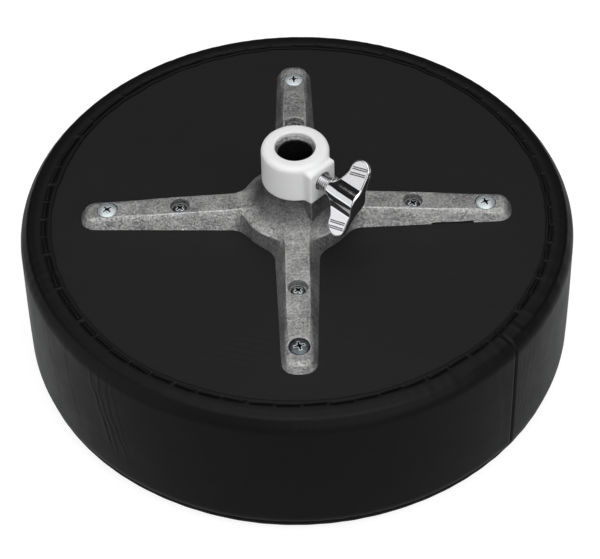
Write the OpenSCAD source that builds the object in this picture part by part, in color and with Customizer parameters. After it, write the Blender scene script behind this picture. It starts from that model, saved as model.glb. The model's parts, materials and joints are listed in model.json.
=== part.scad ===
// Round padded drum throne seat, lying on its sitting face with the post bracket upwards.
// Millimetres. The origin is on the seat axis in the plane of the sitting face, and +Z runs
// out of the post socket. The bracket's arms lie along X and Y.

/* [Seat] */
// Outer diameter over the cover
seat_d = 355.6; // [340:1:400]
// Height from the sitting face to the top of the turned-over cover edge
seat_h = 107.6; // [95:0.5:130]
// Rounding of the cover at the sitting face
sit_round = 18; // [12:1:22]
// Rounding of the cover at the base
rim_round = 11.6; // [8:0.2:16]
// Thickness of the vinyl
vinyl_t = 1.2; // [0.8:0.1:2]
// Angle below level at which the top panel is sewn to the side band
seam_angle = 24; // [20:0.1:60]
// Inner radius of the turned-over cover edge
flange_r = 157; // [150:0.5:160]

/* [Base board] */
// Radius of the plywood
board_r = 166; // [164:0.5:168]
// Thickness of the plywood
board_t = 12; // [9:0.5:15]
// Thickness of the black sheet on the underside of the plywood
sheet_t = 0.8; // [0.5:0.1:1.5]

/* [Padding] */
// Thickness of the soft foam next to the sitting face
soft_foam_t = 40; // [20:1:50]

/* [Staples] */
// Number of staples round the rim
staple_count = 64; // [40:2:80]
// Radius of the staple row
staple_r = 162; // [161:0.2:163]
// Width over the crown
staple_w = 12.8; // [10:0.2:14]
// Wire width
staple_wire = 1.2; // [0.8:0.1:1.6]
// Wire thickness
staple_gauge = 0.6; // [0.4:0.1:0.8]
// Leg length below the cover
staple_leg = 8; // [6:1:10]

/* [Bracket arms] */
// Distance from the axis to the outer screws
outer_screw_r = 121; // [115:0.5:124]
// Distance from the axis to the inner screws
inner_screw_r = 74.5; // [65:0.5:85]
// Distance from the axis to the tip of an arm at its base
arm_r = 138; // [136:0.5:142]
// Half width of the flat top of an arm
arm_half_w = 6.6; // [6:0.1:8]
// Width of the bevel along each edge of the top of an arm
arm_bevel_w = 2; // [1:0.1:2.5]
// Height of the same bevel
arm_bevel_h = 1.6; // [1:0.1:2]
// Height of an arm at the outer screw
arm_h = 6.8; // [6:0.1:8]
// Rise of the top of an arm per millimetre towards the axis
arm_rise = 0.063; // [0:0.001:0.08]
// Draft of the arm sides, as sideways run per millimetre of height
arm_draft = 0.52; // [0.3:0.01:0.55]
// Radius of the counterbore over an outer screw
outer_bore_r = 6.6; // [6.5:0.05:6.8]
// Depth of the same counterbore
outer_bore_depth = 1.6; // [1:0.1:2.5]
// Radius of the counterbore over an inner screw
inner_bore_r = 6.1; // [5.2:0.1:6.4]
// Height of the floor of the counterbore over an inner screw
inner_bore_floor = 5.1; // [2:0.1:6]

/* [Bracket hub] */
// Radius of the web disc at the base
web_r = 37.2; // [34:0.2:42]
// Radius of the web disc at its upper edge
web_top_r = 35; // [32:0.2:37]
// Height of the upper edge of the web disc
web_h = 10; // [8:0.5:12]
// Radius of the shoulder that the collar sits on
shoulder_r = 19.7; // [19:0.1:21]
// Height of the shoulder over the base
shoulder_h = 32; // [28:0.5:36]
// Outer radius of the socket tube above the shoulder
tube_r = 17.5; // [16:0.1:18]
// Height of the top of the socket tube over the base
tube_h = 56.7; // [52:0.1:60]

/* [Post socket] */
// Radius of the socket, for a 22.2 mm seat post
socket_r = 11.25; // [11.2:0.01:11.4]
// Thickness of the floor under the socket, above the roots of the arms
socket_floor = 13; // [13:0.5:20]
// Depth of the lead-in chamfer
chamfer_h = 2.6; // [1:0.1:3]
// Radius of the mouth of the chamfer
chamfer_r = 12.8; // [12:0.1:13.2]

/* [Collar] */
// Outer radius of the nylon collar
collar_r = 21.5; // [21:0.1:23]
// Height of the top of the collar over the base
collar_h = 59; // [58.5:0.1:62]
// Rounding of the top edge of the collar
collar_round = 3.5; // [1:0.1:3.6]
// Distance from the axis to the front of the collar's nose
nose_r = 24; // [23.9:0.1:26]
// Half width of the nose
nose_half_w = 11; // [10.9:0.1:12]
// Height of the top of the nose over the base
nose_h = 55; // [54:0.5:56]
// Distance from the axis to the front of the cast boss inside the nose
boss_r = 22.4; // [21.8:0.1:22.5]
// Half width of the cast boss
boss_half_w = 9.6; // [8:0.1:9.8]
// Height of the top of the cast boss over the base
boss_h = 52; // [50:0.5:53]

/* [Wing bolt] */
// Compass angle of the bolt about the seat axis
bolt_angle = -45; // [-60:1:-30]
// Height of the bolt's axis over the base
bolt_h = 44.5; // [42:0.5:45]
// Radius of the stud
stud_r = 5; // [4:0.5:5]
// Distance from the seat axis to the tip of the stud
stud_tip = 11.45; // [11.4:0.01:11.6]
// Distance from the seat axis to the near end of the head
head_start = 31; // [31:0.5:33]
// Distance from the seat axis to the far end of the head
head_end = 54.5; // [52:0.5:56]
// Radius of the head's hub
hub_r = 6.8; // [5.6:0.1:7]
// Distance between the tips of the wings
wing_span = 52; // [48:1:56]
// Width of a wing near its tip
wing_w = 14; // [12:0.5:16]
// Thickness of a wing
wing_t = 4.6; // [4:0.2:6]
// Lean of the wings away from upright
wing_lean = 33; // [0:1:90]

/* [Hidden] */

$fn = 96;
overshoot = 1;
fit_gap = 0.05;
far = 2 * seat_d;

seat_r = seat_d / 2;
base_z = seat_h - vinyl_t;
board_top = base_z - sheet_t;
board_bottom = board_top - board_t;
padding_r = seat_r - vinyl_t - fit_gap;
soft_foam_top = vinyl_t + soft_foam_t;
seam_centre = [seat_r - sit_round, sit_round];
seam_end = seam_centre + far * [cos(seam_angle), -sin(seam_angle)];

tip_base_r = 11.3;
tip_x = arm_r - tip_base_r;
root_x = 28;
arm_shoulder_w = arm_half_w + arm_bevel_w;
hull_fn = 32;
arm_turns = [0, 90, 180, 270];
sides = [-1, 1];

outer_shank_r = 3;
outer_head_r = 6.4;
outer_head_h = 2.4;
outer_head_floor = arm_h - outer_bore_depth;
outer_screw_l = outer_head_floor + sheet_t + board_t - 1;
inner_shank_r = 2.4;
inner_head_r = 4.7;
inner_head_h = 2.5;
inner_screw_l = inner_bore_floor + sheet_t + board_t - 1;
clearance_r = 0.4;
recess_r = 1.6;
recess_depth = 1.8;
recess_slot = 1.1;

tee_flange_r = 9.5;
tee_flange_t = 1.4;
tee_barrel_r = 4;
tee_barrel_l = 9;
tee_prong_r = 7.5;
tee_prong_size = [2.2, 1.2, 6];

collar_hole_r = 6.4;
head_socket_l = 12;
wing_x = head_end - wing_w / 2;
wing_tip_r = wing_w / 2;
wing_root_w = 18;

flare_rise = shoulder_h - web_h;
flare_run = web_top_r - shoulder_r;
flare_r = (flare_run * flare_run + flare_rise * flare_rise) / (2 * flare_run);

// Half section of the whole padded seat, smaller by inset all round
module seat_section(inset) {
    translate([0, inset])
        square([seat_r - sit_round, seat_h - 2 * inset]);
    translate([0, sit_round])
        square([seat_r - inset, seat_h - sit_round - rim_round]);
    translate([0, seat_h / 2])
        square([seat_r - rim_round, seat_h / 2 - inset]);
    intersection() {
        translate(seam_centre)
            circle(r = sit_round - inset);
        square([far, far]);
    }
    intersection() {
        translate([seat_r - rim_round, seat_h - rim_round])
            circle(r = rim_round - inset);
        square([far, far]);
    }
}

module cover_section() {
    difference() {
        seat_section(0);
        seat_section(vinyl_t);
    }
}

module at_base(angle, radius) {
    rotate([0, 0, angle])
        translate([radius, 0, base_z])
            children();
}

// Plywood disc that the cover is stapled to and the bracket is screwed to
module base_board() {
    color("burlywood")
        difference() {
            translate([0, 0, board_bottom])
                cylinder(r = board_r, h = board_t);
            for (a = arm_turns) {
                at_base(a, outer_screw_r)
                    tee_nut_body(0);
                at_base(a, outer_screw_r)
                    translate([0, 0, -far])
                        cylinder(r = outer_shank_r + fit_gap, h = far);
                at_base(a, inner_screw_r)
                    inner_screw_body();
            }
        }
}

// Thin black sheet over the whole underside of the plywood
module base_sheet() {
    color("#232324")
        difference() {
            translate([0, 0, board_top])
                cylinder(r = board_r - 1, h = sheet_t);
            for (a = arm_turns) {
                at_base(a, outer_screw_r)
                    translate([0, 0, -far / 2])
                        cylinder(r = outer_shank_r + fit_gap, h = far);
                at_base(a, inner_screw_r)
                    inner_screw_body();
            }
        }
}

// Firm foam glued to the plywood
module support_foam() {
    color("lightgray")
        translate([0, 0, soft_foam_top])
            cylinder(r = board_r, h = board_bottom - soft_foam_top);
}

// Soft foam under the sitting face
module comfort_foam() {
    color("whitesmoke")
        rotate_extrude()
            intersection() {
                seat_section(vinyl_t + fit_gap);
                square([board_r, soft_foam_top]);
            }
}

// Strip of foam wrapped round the side of the pad and over the edge of the plywood
module edge_padding() {
    color("silver")
        rotate_extrude()
            intersection() {
                seat_section(vinyl_t + fit_gap);
                translate([board_r + fit_gap, 0])
                    square([far, seat_h - 2 * vinyl_t]);
            }
}

// Vinyl round the side, turned over the edge of the plywood
module cover_side_band() {
    color("#1c1c1d")
        rotate_extrude()
            intersection() {
                cover_section();
                polygon([
                    seam_centre,
                    seam_end,
                    [far, far],
                    [flange_r, far],
                    [flange_r, sit_round]
                ]);
            }
}

// Round vinyl panel of the sitting face
module cover_top_panel() {
    color("#1f1f20")
        rotate_extrude()
            intersection() {
                cover_section();
                polygon([
                    [0, sit_round],
                    seam_centre,
                    seam_end,
                    [0, -far]
                ]);
            }
}

module staple() {
    leg_y = (staple_w - staple_gauge) / 2;
    translate([-staple_wire / 2, -staple_w / 2, 0])
        cube([staple_wire, staple_w, staple_gauge]);
    for (side = sides)
        translate([-staple_wire / 2, side * leg_y - staple_gauge / 2, -staple_leg])
            cube([staple_wire, staple_gauge, staple_leg + staple_gauge]);
}

// Row of staples that holds the turned-over cover edge
module cover_staples() {
    color("#101011")
        for (i = [0 : staple_count - 1])
            rotate([0, 0, (i + 0.5) * 360 / staple_count])
                translate([staple_r, 0, seat_h])
                    staple();
}

function arm_height(x) = arm_h + (outer_screw_r - x) * arm_rise;

module arm_end(x, base_r) {
    shoulder = arm_height(x) - arm_bevel_h;
    translate([x, 0, 0]) {
        cylinder(r1 = base_r, r2 = arm_shoulder_w, h = shoulder, $fn = hull_fn);
        cylinder(r = arm_half_w, h = arm_height(x), $fn = hull_fn);
    }
}

// One drafted arm with bevelled edges, and with its root inside the hub
module arm() {
    root_shoulder = arm_height(root_x) - arm_bevel_h;
    hull() {
        arm_end(root_x, arm_shoulder_w + root_shoulder * arm_draft);
        arm_end(tip_x, tip_base_r);
    }
}

// Half section of the web and of the tube; a circle curves the one up to the shoulder
module hub_section() {
    difference() {
        polygon([
            [0, 0],
            [web_r, 0],
            [web_top_r, web_h],
            [shoulder_r, shoulder_h],
            [0, shoulder_h]
        ]);
        translate([shoulder_r + flare_r, shoulder_h])
            circle(r = flare_r);
    }
    square([tube_r, tube_h]);
}

module along_bolt(distance) {
    rotate([0, 0, bolt_angle])
        translate([distance, 0, bolt_h])
            rotate([0, 90, 0])
                children();
}

// Cast bracket: four arms, web, post socket and the boss that the wing bolt screws into
module post_bracket() {
    color("#8c8a88")
        translate([0, 0, base_z])
            difference() {
                union() {
                    for (a = arm_turns)
                        rotate([0, 0, a])
                            arm();
                    rotate_extrude()
                        hub_section();
                    rotate([0, 0, bolt_angle])
                        translate([0, -boss_half_w, web_h / 2])
                            cube([boss_r, 2 * boss_half_w, boss_h - web_h / 2]);
                }
                translate([0, 0, socket_floor])
                    cylinder(r = socket_r, h = tube_h);
                translate([0, 0, tube_h - chamfer_h])
                    cylinder(r1 = socket_r, r2 = chamfer_r, h = chamfer_h);
                along_bolt(0)
                    cylinder(r = stud_r + fit_gap, h = boss_r + overshoot);
                for (a = arm_turns)
                    rotate([0, 0, a]) {
                        translate([outer_screw_r, 0, -overshoot])
                            cylinder(r = outer_shank_r + clearance_r, h = far);
                        translate([outer_screw_r, 0, outer_head_floor])
                            cylinder(r = outer_bore_r, h = far);
                        translate([inner_screw_r, 0, -overshoot])
                            cylinder(r = inner_shank_r + clearance_r, h = far);
                        translate([inner_screw_r, 0, inner_bore_floor])
                            cylinder(r = inner_bore_r, h = far);
                    }
            }
}

// Half section of the collar, drawn a little below the shoulder so that one plane trims its foot
module collar_section() {
    translate([0, -overshoot]) {
        square([collar_r, collar_h - shoulder_h - collar_round + overshoot]);
        square([collar_r - collar_round, collar_h - shoulder_h + overshoot]);
    }
    translate([collar_r - collar_round, collar_h - shoulder_h - collar_round])
        circle(r = collar_round);
}

// White nylon collar over the socket tube, with a square nose over the boss
module nylon_collar() {
    nose_l = nose_h - shoulder_h + overshoot;
    color("#e2e2e3")
        translate([0, 0, base_z])
            difference() {
                union() {
                    translate([0, 0, shoulder_h])
                        rotate_extrude()
                            collar_section();
                    rotate([0, 0, bolt_angle])
                        translate([0, -nose_half_w, shoulder_h - overshoot])
                            cube([nose_r, 2 * nose_half_w, nose_l]);
                }
                translate([-far / 2, -far / 2, shoulder_h - far])
                    cube([far, far, far]);
                cylinder(r = chamfer_r, h = far);
                cylinder(r = tube_r + fit_gap, h = tube_h);
                rotate([0, 0, bolt_angle])
                    translate([0, -boss_half_w - fit_gap, 0])
                        cube([boss_r + fit_gap, 2 * (boss_half_w + fit_gap), boss_h + fit_gap]);
                along_bolt(0)
                    cylinder(r = collar_hole_r, h = far);
            }
}

// Cross recess, with its mouth at the origin and its depth along -Z
module cross_recess() {
    translate([0, 0, -recess_depth]) {
        cylinder(r = recess_r, h = far);
        for (a = [0, 90])
            rotate([0, 0, a])
                translate([-2 * recess_r, -recess_slot / 2, 0])
                    cube([4 * recess_r, recess_slot, far]);
    }
}

// Domed screw head with its underside at the origin
module screw_head(head_r, head_h) {
    dome_r = (head_r * head_r + head_h * head_h) / (2 * head_h);
    difference() {
        intersection() {
            cylinder(r = head_r, h = head_h);
            translate([0, 0, head_h - dome_r * 1.5])
                sphere(r = dome_r * 1.5);
        }
        translate([0, 0, head_h])
            cross_recess();
    }
}

module outer_screw_body() {
    translate([0, 0, outer_head_floor]) {
        screw_head(outer_head_r, outer_head_h);
        translate([0, 0, -outer_screw_l])
            cylinder(r = outer_shank_r, h = outer_screw_l);
    }
}

module inner_screw_body() {
    translate([0, 0, inner_bore_floor]) {
        screw_head(inner_head_r, inner_head_h);
        translate([0, 0, -inner_screw_l])
            cylinder(r = inner_shank_r, h = inner_screw_l);
    }
}

// Machine screw through an arm into its tee nut
module outer_screw(angle) {
    color("#c9ccd2")
        at_base(angle, outer_screw_r)
            outer_screw_body();
}

// Wood screw in a deep counterbore of an arm
module inner_screw(angle) {
    color("#55565a")
        at_base(angle, inner_screw_r)
            inner_screw_body();
}

module tee_nut_body(bore_r) {
    translate([0, 0, board_bottom - base_z])
        difference() {
            union() {
                cylinder(r = tee_flange_r, h = tee_flange_t);
                cylinder(r = tee_barrel_r, h = tee_barrel_l);
                for (a = arm_turns)
                    rotate([0, 0, a + 45])
                        translate([tee_prong_r, -tee_prong_size.y / 2, 0])
                            cube([tee_prong_size.x / 2, tee_prong_size.y, tee_prong_size.z]);
            }
            if (bore_r > 0)
                translate([0, 0, -overshoot])
                    cylinder(r = bore_r, h = far);
        }
}

// Pronged nut pulled into the padded side of the plywood
module tee_nut(angle) {
    color("#b9b39a")
        at_base(angle, outer_screw_r)
            tee_nut_body(outer_shank_r + fit_gap);
}

// Threaded stud of the wing bolt, drawn at its full diameter
module wing_bolt_stud() {
    color("#c8c8cc")
        translate([0, 0, base_z])
            along_bolt(stud_tip)
                cylinder(r = stud_r, h = head_start + head_socket_l - stud_tip);
}

module wing_outline() {
    for (side = sides) {
        translate([wing_x, side * (wing_span / 2 - wing_tip_r)])
            circle(r = wing_tip_r);
        polygon([
            [wing_x - wing_tip_r, side * (wing_span / 2 - wing_tip_r)],
            [wing_x + wing_tip_r, side * (wing_span / 2 - wing_tip_r)],
            [head_end, 0],
            [head_end - wing_root_w, 0]
        ]);
    }
}

// Cast head of the wing bolt: a round hub and two flat wings
module wing_bolt_head() {
    color("#d8d8dc")
        translate([0, 0, base_z])
            difference() {
                union() {
                    along_bolt(head_start)
                        cylinder(r = hub_r, h = head_end - head_start);
                    rotate([0, 0, bolt_angle])
                        translate([0, 0, bolt_h])
                            rotate([90 - wing_lean, 0, 0])
                                translate([0, 0, -wing_t / 2])
                                    linear_extrude(wing_t)
                                        wing_outline();
                }
                along_bolt(head_start - overshoot)
                    cylinder(r = stud_r + fit_gap, h = head_socket_l + overshoot + fit_gap);
            }
}

base_board();
base_sheet();
support_foam();
comfort_foam();
edge_padding();
cover_side_band();
cover_top_panel();
cover_staples();
post_bracket();
nylon_collar();
outer_screw(0);  // outer_screw_right
outer_screw(90);  // outer_screw_back
outer_screw(180);  // outer_screw_left
outer_screw(270);  // outer_screw_front
inner_screw(0);  // inner_screw_right
inner_screw(90);  // inner_screw_back
inner_screw(180);  // inner_screw_left
inner_screw(270);  // inner_screw_front
tee_nut(0);  // tee_nut_right
tee_nut(90);  // tee_nut_back
tee_nut(180);  // tee_nut_left
tee_nut(270);  // tee_nut_front
wing_bolt_stud();
wing_bolt_head();
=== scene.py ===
"""Drum throne seat, upside-down: upholstered cushion, black base, cast bracket, nylon collar and wing bolt.

Shapes are worked out in millimetres in the shared frame and turned into metres when a mesh is made.
"""

import json
import math

import bpy
import numpy as np
from mathutils import Matrix, Vector


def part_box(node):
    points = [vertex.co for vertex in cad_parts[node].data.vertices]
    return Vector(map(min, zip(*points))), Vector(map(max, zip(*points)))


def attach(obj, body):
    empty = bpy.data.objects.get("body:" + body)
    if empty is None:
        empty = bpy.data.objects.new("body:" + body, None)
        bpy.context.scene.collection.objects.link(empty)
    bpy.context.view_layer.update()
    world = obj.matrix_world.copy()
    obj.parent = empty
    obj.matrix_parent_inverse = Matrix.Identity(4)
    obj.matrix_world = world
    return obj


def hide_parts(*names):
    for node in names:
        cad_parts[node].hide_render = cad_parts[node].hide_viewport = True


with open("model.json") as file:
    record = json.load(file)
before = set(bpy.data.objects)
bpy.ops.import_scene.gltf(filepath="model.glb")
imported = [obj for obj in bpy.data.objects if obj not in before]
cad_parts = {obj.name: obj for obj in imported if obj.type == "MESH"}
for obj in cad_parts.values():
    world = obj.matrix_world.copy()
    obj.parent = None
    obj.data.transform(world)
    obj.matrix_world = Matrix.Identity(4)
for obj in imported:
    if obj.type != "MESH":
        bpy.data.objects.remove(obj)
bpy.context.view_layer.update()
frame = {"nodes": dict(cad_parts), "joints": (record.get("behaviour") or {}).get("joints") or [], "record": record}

MM = 0.001
TURN = 2 * math.pi
rng = np.random.default_rng(14)


# ---- sizes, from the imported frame

LOW, HIGH = 0, 1
X, Y, Z = 0, 1, 2


def node_end(name, side, axis):
    """Where a CAD node's box ends on one side along an axis, in millimetres."""
    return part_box(name)[side][axis] / MM


def named(entries, name):
    """The entry of a list in the frame that has this name."""
    return next(entry for entry in entries if entry["name"] == name)


SEAT_R = node_end("cover_side_band", HIGH, Y)
FLANGE_Z = node_end("cover_side_band", HIGH, Z)  # the cover's top face, where it is turned over the board
BASE_Z = node_end("base_sheet", HIGH, Z)
SHEET_R = node_end("base_sheet", HIGH, X)
SHEET_T = BASE_Z - node_end("base_sheet", LOW, Z)
STAPLE_WIRE = 1.2  # width of the wire in the CAD
STAPLE_R = node_end("cover_staples", HIGH, X) - STAPLE_WIRE / 2
SEAM_Z = node_end("cover_top_panel", HIGH, Z)
VINYL_T = FLANGE_Z - BASE_Z
SIT_ROUND = 18.0  # rounding of the cover at the sitting face
RIM_ROUND = 11.6  # and at the rim beside the staples
FLANGE_R = 157.0  # the raw edge of the turned-over cover
SIDE_SEAM = math.radians(-41.8)
ARM_R = node_end("post_bracket", HIGH, X)
TUBE_TOP = node_end("post_bracket", HIGH, Z) - BASE_Z
COLLAR_TOP = node_end("nylon_collar", HIGH, Z) - BASE_Z
COLLAR_FOOT = node_end("nylon_collar", LOW, Z) - BASE_Z
SOCKET_R = named(frame["record"]["mounts"], "post_socket")["dims"]["r_mm"]
bolt_joint = named(frame["joints"], "wing_bolt_turn")
BOLT_AXIS = np.array(bolt_joint["axis"], float)
BOLT_AXIS /= np.linalg.norm(BOLT_AXIS)
BOLT_Z = bolt_joint["pos_m"][2] / MM
BOLT_H = BOLT_Z - BASE_Z
SLOTS = {part["node"]: part["material_slot"] for part in frame["record"]["subparts"]}
SIDES = {"right": 0.0, "back": math.pi / 2, "left": math.pi, "front": -math.pi / 2}


# ---- meshes

def mesh_object(name, points, faces, look, normals=None, smooth=True):
    """A mesh object from points in millimetres and faces as an array or a list."""
    mesh = bpy.data.meshes.new(name)
    faces = faces.tolist() if isinstance(faces, np.ndarray) else faces
    mesh.from_pydata((np.asarray(points) * MM).tolist(), [], faces)
    mesh.polygons.foreach_set("use_smooth", np.full(len(mesh.polygons), smooth))
    mesh.materials.append(look)
    mesh.update()
    if normals is not None:
        mesh.normals_split_custom_set_from_vertices(normals.tolist())
    thing = bpy.data.objects.new(name, mesh)
    bpy.context.scene.collection.objects.link(thing)
    return thing


def piece(name, body, node, points, faces, normals=None, smooth=True):
    """A piece that rides on a body in place of one CAD node, with that node's material."""
    slot = SLOTS[node]
    thing = mesh_object(name, points, faces, LOOKS[slot], normals, smooth)
    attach(thing, body)
    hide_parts(node)
    return thing


def round_points(radii, turns, heights):
    """Points from radius, angle and height round the seat's axis."""
    return np.stack([radii * np.cos(turns), radii * np.sin(turns), heights], -1)


def ring_faces(rows, columns, flip=False):
    """Quads of a grid of rows by columns of points that closes round its columns."""
    i, j = np.meshgrid(np.arange(rows - 1), np.arange(columns), indexing="ij")
    near, far = i * columns, (i + 1) * columns
    after = (j + 1) % columns
    quads = np.stack([near + j, near + after, far + after, far + j], -1).reshape(-1, 4)
    return quads[:, ::-1] if flip else quads


def looped_faces(rows, columns):
    """The quads of ring_faces, and those that join its last ring to its first."""
    j = np.arange(columns)
    after, last = (j + 1) % columns, (rows - 1) * columns
    return np.vstack([ring_faces(rows, columns), np.stack([last + j, last + after, after, j], -1)])


def capped_faces(rows, columns, flip=False):
    """The quads of ring_faces, with one face over its first ring and one over its last."""
    first, last = list(range(columns)), list(range((rows - 1) * columns, rows * columns))
    caps = [first, last[::-1]] if flip else [first[::-1], last]
    return ring_faces(rows, columns, flip).tolist() + caps


BLOCK = 8  # cells along the side of a block in level_surface
CELL_CORNERS = [(a, b, c) for a in (0, 1) for b in (0, 1) for c in (0, 1)]


def gradient(field, points, step):
    """Slope of a field at each point, by central differences."""
    slopes = []
    for axis in range(3):
        shift = np.zeros(3)
        shift[axis] = step
        slopes.append((field(*(points + shift).T) - field(*(points - shift).T)) / (2 * step))
    return np.stack(slopes, -1)


def corner(grid, at):
    """The values of one corner of every cell in every block."""
    a, b, c = at
    return grid[:, a:a + BLOCK, b:b + BLOCK, c:c + BLOCK]


def sampled_blocks(field, low, counts, cell):
    """First cells of the blocks near the surface, and the field at their corners."""
    span = cell * BLOCK
    starts = np.stack(np.meshgrid(*map(np.arange, counts), indexing="ij"), -1).reshape(-1, 3)
    centres = low + (starts + 0.5) * span
    starts = starts[np.abs(field(*centres.T)) < span] * BLOCK
    steps = np.stack(np.meshgrid(*[np.arange(BLOCK + 1)] * 3, indexing="ij"), -1)
    samples = low + (starts[:, None, None, None, :] + steps) * cell
    return starts, field(samples[..., 0], samples[..., 1], samples[..., 2])


def crossed_cells(starts, values):
    """Cells that the surface crosses, and in each the mean of the points where it meets their edges."""
    full = sum(corner(values < 0, at).astype(np.int8) for at in CELL_CORNERS)
    block, i, j, k = np.nonzero((full > 0) & (full < len(CELL_CORNERS)))
    total, hits = np.zeros((len(block), 3)), np.zeros(len(block))
    for axis in range(3):
        for at in (start_at for start_at in CELL_CORNERS if not start_at[axis]):
            to = tuple(v + (n == axis) for n, v in enumerate(at))
            start = values[block, i + at[0], j + at[1], k + at[2]]
            end = values[block, i + to[0], j + to[1], k + to[2]]
            crossed = (start < 0) != (end < 0)
            share = start[crossed] / (start[crossed] - end[crossed])
            point = np.tile(np.array(at, float), (crossed.sum(), 1))
            point[:, axis] += share
            total[crossed] += point
            hits[crossed] += 1
    return starts[block] + np.stack([i, j, k], -1), total / hits[:, None]


def crossed_quads(starts, values, keys, key):
    """A quad round each grid edge that the surface crosses, between the points of its four cells."""
    inside = values < 0
    faces = []
    for axis in range(3):
        at = [0, 0, 0]
        at[axis] = 1
        start, end = corner(inside, (0, 0, 0)), corner(inside, at)
        block, i, j, k = np.nonzero(start != end)
        base = starts[block] + np.stack([i, j, k], -1)
        u, v = np.eye(3, dtype=int)[(axis + 1) % 3], np.eye(3, dtype=int)[(axis + 2) % 3]
        wanted = np.stack([key(base - u - v), key(base - v), key(base), key(base - u)], -1)
        found = np.clip(np.searchsorted(keys, wanted), 0, len(keys) - 1)
        whole = (keys[found] == wanted).all(1)
        quads = found[whole]
        outward = start[block, i, j, k][whole]
        quads[~outward] = quads[~outward][:, ::-1]
        faces.append(quads)
    return np.vstack(faces)


def level_surface(field, low, high, cell):
    """Points, quads and normals of the closed surface where field(x, y, z) is 0; it is below 0 inside.

    Only blocks near the surface are sampled. Each cell that the surface crosses gets one point,
    which then slides along the slope of the field onto the surface.
    """
    low = np.array(low, float)
    counts = np.ceil((np.array(high, float) - low) / (cell * BLOCK)).astype(int)
    limits = counts * BLOCK + 2

    def key(cells):
        return (cells[:, 0] * limits[1] + cells[:, 1]) * limits[2] + cells[:, 2]

    starts, values = sampled_blocks(field, low, counts, cell)
    cells, means = crossed_cells(starts, values)
    points, keys = low + (cells + means) * cell, key(cells)
    order = np.argsort(keys)
    points, keys = points[order], keys[order]
    faces = crossed_quads(starts, values, keys, key)
    for _ in range(4):
        slope = gradient(field, points, cell * 0.1)
        steep = np.maximum((slope * slope).sum(1), 0.3)
        points = points - (np.clip(field(*points.T), -cell, cell) / steep)[:, None] * slope
    normals = gradient(field, points, cell * 0.35)
    normals /= np.maximum(np.linalg.norm(normals, axis=1), 1e-9)[:, None]
    return points, faces, normals


def bend_of(field, points, reach):
    """How sharply the surface bends: up to 1 on sharp outer edges, down to -1 in corners."""
    total = -6 * field(*points.T)
    for axis in range(3):
        shift = np.zeros(3)
        shift[axis] = reach
        total = total + field(*(points + shift).T) + field(*(points - shift).T)
    return np.clip(total / reach, -1, 1)


def note(thing, name, values):
    """Keeps one number for each point of a piece, for its material to read."""
    layer = thing.data.attributes.new(name, "FLOAT", "POINT")
    layer.data.foreach_set("value", np.asarray(values, np.float32))


def join_soft(a, b, radius):
    """Union of two fields with a fillet of about radius where they meet."""
    share = np.clip(0.5 + 0.5 * (b - a) / radius, 0, 1)
    return b * (1 - share) + a * share - radius * share * (1 - share)


def cut_soft(a, b, radius):
    """What two fields share, with the edge rounded by about radius."""
    return -join_soft(-a, -b, radius)


def smooth_step(low, high, x):
    """0 up to low and 1 from high on, with a smooth way between; low may be the greater."""
    t = np.clip((x - low) / (high - low), 0, 1)
    return t * t * (3 - 2 * t)


def bell(x, width):
    """1 where x is 0, falling off on both sides within about width."""
    return np.exp(-((x / width) ** 2))


def wavy(angle, count, amounts, seed):
    """A smooth closed curve of random waves round the seat; its size is about 1."""
    draws = np.random.default_rng(seed)
    phases = draws.uniform(0, TURN, amounts)
    weights = draws.normal(0, 1, amounts)
    waves = [w * np.cos((count + n) * angle + p) for n, (w, p) in enumerate(zip(weights, phases))]
    return sum(waves) / math.sqrt(amounts)


# ---- materials

class Nodes:
    """Adds nodes to a tree, one call at a time."""

    def __init__(self, tree):
        self.tree = tree

    def node(self, kind, inputs=None, **settings):
        """A node with its settings, and its inputs linked to outputs or set to values."""
        made = self.tree.nodes.new(kind)
        for name, value in settings.items():
            setattr(made, name, value)
        for name, value in (inputs or {}).items():
            if isinstance(value, bpy.types.NodeSocket):
                self.tree.links.new(value, made.inputs[name])
            else:
                made.inputs[name].default_value = value
        return made

    def ramp(self, value, low, high, start=0.0, end=1.0):
        """value from low to high, carried over to start to end."""
        inputs = {"Value": value, "From Min": low, "From Max": high, "To Min": start, "To Max": end}
        return self.node("ShaderNodeMapRange", inputs).outputs["Result"]

    def maths(self, kind, a, b):
        return self.node("ShaderNodeMath", {0: a, 1: b}, operation=kind).outputs[0]


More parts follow.
